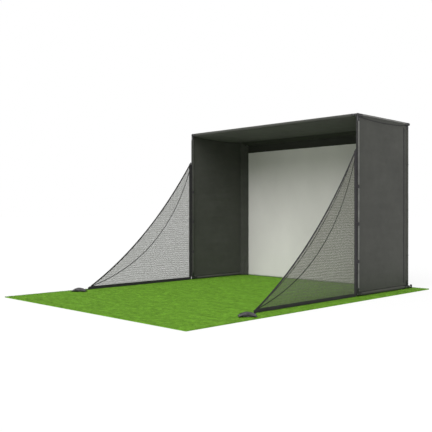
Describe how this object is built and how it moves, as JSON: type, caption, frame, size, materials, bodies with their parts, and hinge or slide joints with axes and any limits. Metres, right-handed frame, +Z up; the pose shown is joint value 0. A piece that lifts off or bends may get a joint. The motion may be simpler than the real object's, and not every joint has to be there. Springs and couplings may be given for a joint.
{
  "type": "golf practice net",
  "caption": "Golf hitting enclosure with a white impact screen, dark fabric walls and roof, two swinging side nets held by sandbags, and a green turf mat.",
  "frame": {"origin": "centre of the turf mat's underside, on the ground", "axes": "+Z up; the opening and the side nets face -Y; +Y runs back to the impact screen; +X is the player's right when facing the screen"},
  "size_m": [4, 5.44, 2.7587],
  "materials": {
    "black_steel": "black powder coat, satin",
    "bare_steel": "zinc-plated, dull",
    "black_plastic": "moulded, matte",
    "black_rubber": "moulded, matte",
    "charcoal_cloth": "coated woven polyester, matte",
    "border_cloth": "coated woven polyester, matte",
    "screen_cloth": "tight white woven polyester, matte",
    "net_mesh": "knotless black netting",
    "black_webbing": "woven black webbing",
    "sandbag_cloth": "dark grey coated cloth",
    "elastic_cord": "black covered elastic",
    "turf_pile": "short green pile"
  },
  "bodies": {
    "frame": {"front_left_upright": "black_steel", "front_right_upright": "black_steel", "front_top_tube": "black_steel", "rear_left_upright": "black_steel", "rear_right_upright": "black_steel", "rear_top_tube": "black_steel", "rear_bottom_tube": "black_steel", "left_top_tube": "black_steel", "left_bottom_tube": "black_steel", "left_top_front_fitting": "black_steel", "left_top_rear_fitting": "black_steel", "left_bottom_front_fitting": "black_steel", "left_bottom_rear_fitting": "black_steel", "left_rear_plug": "black_plastic", "left_rear_foot_tube": "bare_steel", "left_rear_foot": "black_rubber", "right_top_tube": "black_steel", "right_bottom_tube": "black_steel", "right_top_front_fitting": "black_steel", "right_top_rear_fitting": "black_steel", "right_bottom_front_fitting": "black_steel", "right_bottom_rear_fitting": "black_steel", "right_rear_plug": "black_plastic", "right_rear_foot_tube": "bare_steel", "right_rear_foot": "black_rubber", "roof_panel": "charcoal_cloth", "left_side_panel": "charcoal_cloth", "left_border": "border_cloth", "left_screen_tie_1": "elastic_cord", "left_screen_tie_2": "elastic_cord", "left_screen_tie_3": "elastic_cord", "right_side_panel": "charcoal_cloth", "right_border": "border_cloth", "right_screen_tie_1": "elastic_cord", "right_screen_tie_2": "elastic_cord", "right_screen_tie_3": "elastic_cord", "top_border": "border_cloth", "screen_header": "border_cloth", "impact_screen": "screen_cloth", "turf_mat": "turf_pile"},
    "left_net": {"left_net_mesh": "net_mesh", "left_net_edge_binding": "black_webbing", "left_net_upright_hem": "black_webbing", "left_net_bottom_hem": "black_webbing", "left_net_tie_1": "black_webbing", "left_net_tie_2": "black_webbing", "left_net_tie_3": "black_webbing", "left_net_corner_strap": "black_webbing"},
    "left_sandbag": {"left_sandbag": "sandbag_cloth"},
    "right_net": {"right_net_mesh": "net_mesh", "right_net_edge_binding": "black_webbing", "right_net_upright_hem": "black_webbing", "right_net_bottom_hem": "black_webbing", "right_net_tie_1": "black_webbing", "right_net_tie_2": "black_webbing", "right_net_tie_3": "black_webbing", "right_net_corner_strap": "black_webbing"},
    "right_sandbag": {"right_sandbag": "sandbag_cloth"}
  },
  "joints": [
    {"name": "left_net_swing", "type": "hinge", "parent": "frame", "child": "left_net", "pos_m": [-1.885, 1.01, 1.1], "axis": [0, 0, 1], "range_deg": [-135, 40]},
    {"name": "right_net_swing", "type": "hinge", "parent": "frame", "child": "right_net", "pos_m": [1.725, 1.01, 1.1], "axis": [0, 0, 1], "range_deg": [-40, 135]},
    {"name": "left_sandbag_lift", "type": "slide", "parent": "frame", "child": "left_sandbag", "axis": [0, 0, 1], "range_m": [0, 0.3]},
    {"name": "right_sandbag_lift", "type": "slide", "parent": "frame", "child": "right_sandbag", "axis": [0, 0, 1], "range_m": [0, 0.3]}
  ]
}
